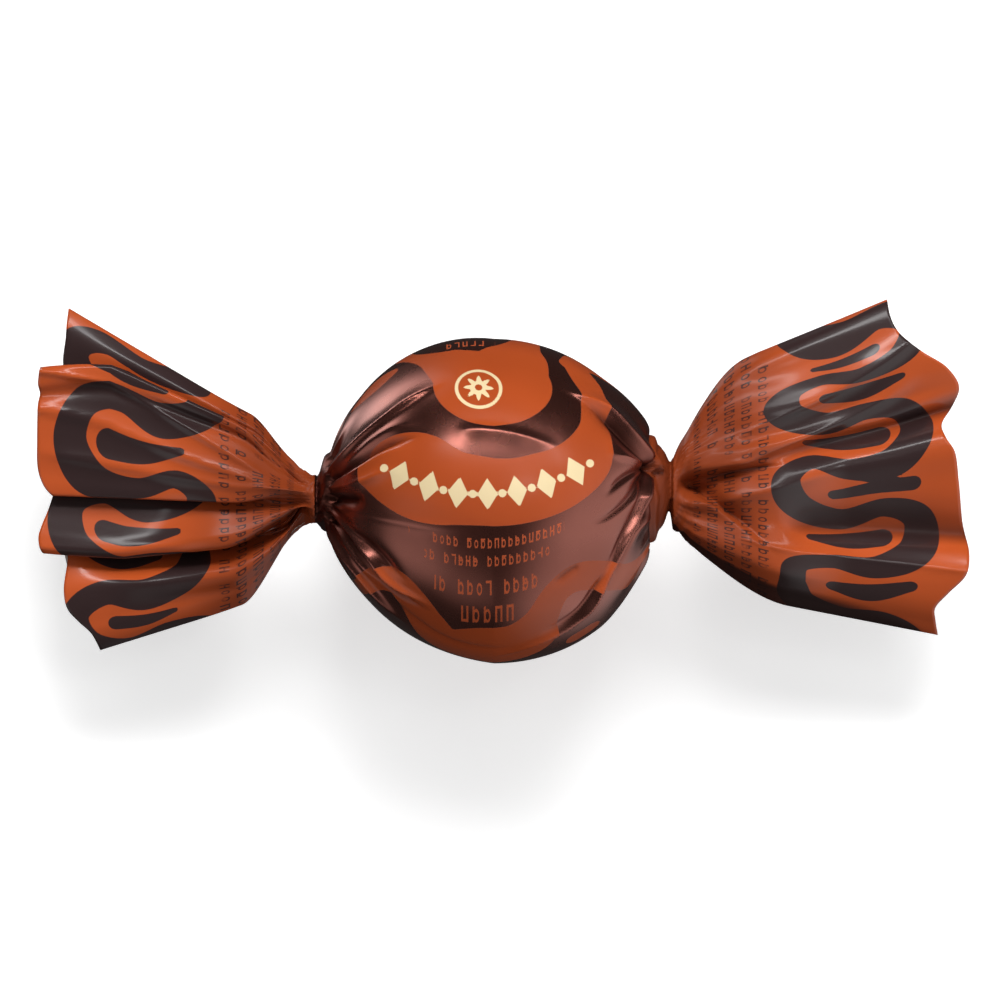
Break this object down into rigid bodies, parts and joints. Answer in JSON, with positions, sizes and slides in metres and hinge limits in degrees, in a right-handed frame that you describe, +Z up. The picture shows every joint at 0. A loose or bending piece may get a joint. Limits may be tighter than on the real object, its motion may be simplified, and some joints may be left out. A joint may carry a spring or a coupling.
{
  "type": "wrapped chocolate truffle",
  "caption": "A ball-shaped chocolate truffle in a twist wrapper of printed brown and orange film, lying with its two pleated tails spread out to the sides.",
  "frame": {"origin": "The middle of the small flat spot on the underside of the ball, on the surface that the sweet rests on.", "axes": "+X runs along the sweet from the left tail to the right tail, +Y across the sweet in the plane of the tails, +Z up through the printed front."},
  "size_m": [0.1047, 0.0406, 0.0342],
  "materials": {
    "printed_film": "printed metallised film, glossy"
  },
  "bodies": {
    "root": {"wrapped_truffle": "printed_film"}
  },
  "joints": []
}
